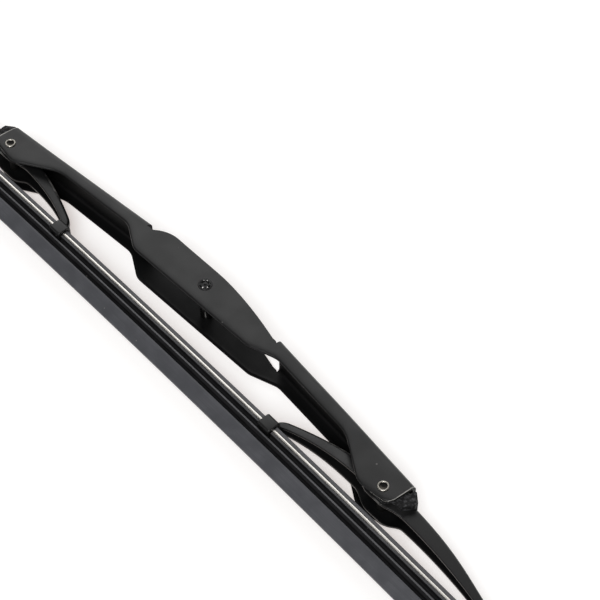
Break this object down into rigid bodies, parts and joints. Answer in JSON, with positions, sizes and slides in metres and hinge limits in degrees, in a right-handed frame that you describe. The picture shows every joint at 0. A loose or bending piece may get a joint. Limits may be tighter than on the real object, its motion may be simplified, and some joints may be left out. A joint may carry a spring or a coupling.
{
  "type": "wiper blade",
  "caption": "Framed windscreen wiper blade: slotted channel bridge on a centre pin, rocking claw levers riveted at its ends, and a rubber wiping element stiffened by steel strips.",
  "frame": {"origin": "middle of the centre pin that the wiper arm's clip snaps on to", "axes": "+X along the blade, +Y from the wiping lip up to the bridge's spine, +Z along the pins, out of the side that faces the camera"},
  "size_m": [0.35, 0.0356, 0.0166],
  "materials": {
    "primary_bridge": "satin black powder coat over pressed steel sheet",
    "centre_pin": "steel pin staked at both ends and coated with the bridge",
    "lever_left": "satin black powder coat over pressed steel sheet",
    "lever_right": "satin black powder coat over pressed steel sheet",
    "pivot_rivet_left": "bare rolled rim with a dark bore",
    "pivot_rivet_right": "bare rolled rim with a dark bore",
    "pivot_liner_left": "moulded black plastic with a dull sheen",
    "pivot_liner_right": "moulded black plastic with a dull sheen",
    "wiping_rubber": "extruded rubber, its lip flanks coated with graphite",
    "vertebra_near": "bare rolled edge of a spring steel strip",
    "vertebra_far": "bare rolled edge of a spring steel strip"
  },
  "bodies": {
    "frame": {"primary_bridge": "primary_bridge", "centre_pin": "centre_pin", "pivot_rivet_left": "pivot_rivet_left", "pivot_rivet_right": "pivot_rivet_right", "wiping_rubber": "wiping_rubber", "vertebra_near": "vertebra_near", "vertebra_far": "vertebra_far"},
    "left_lever": {"lever_left": "lever_left", "pivot_liner_left": "pivot_liner_left"},
    "right_lever": {"lever_right": "lever_right", "pivot_liner_right": "pivot_liner_right"}
  },
  "joints": [
    {"name": "left_lever_tilt", "type": "hinge", "parent": "frame", "child": "left_lever", "pos_m": [-0.0875, -0.00895, 0], "axis": [0, 0, 1], "range_deg": [-4, 5], "deforming": ["wiping_rubber", "vertebra_near", "vertebra_far"]},
    {"name": "right_lever_tilt", "type": "hinge", "parent": "frame", "child": "right_lever", "pos_m": [0.0875, -0.00895, 0], "axis": [0, 0, 1], "range_deg": [-5, 4], "deforming": ["wiping_rubber", "vertebra_near", "vertebra_far"]}
  ]
}
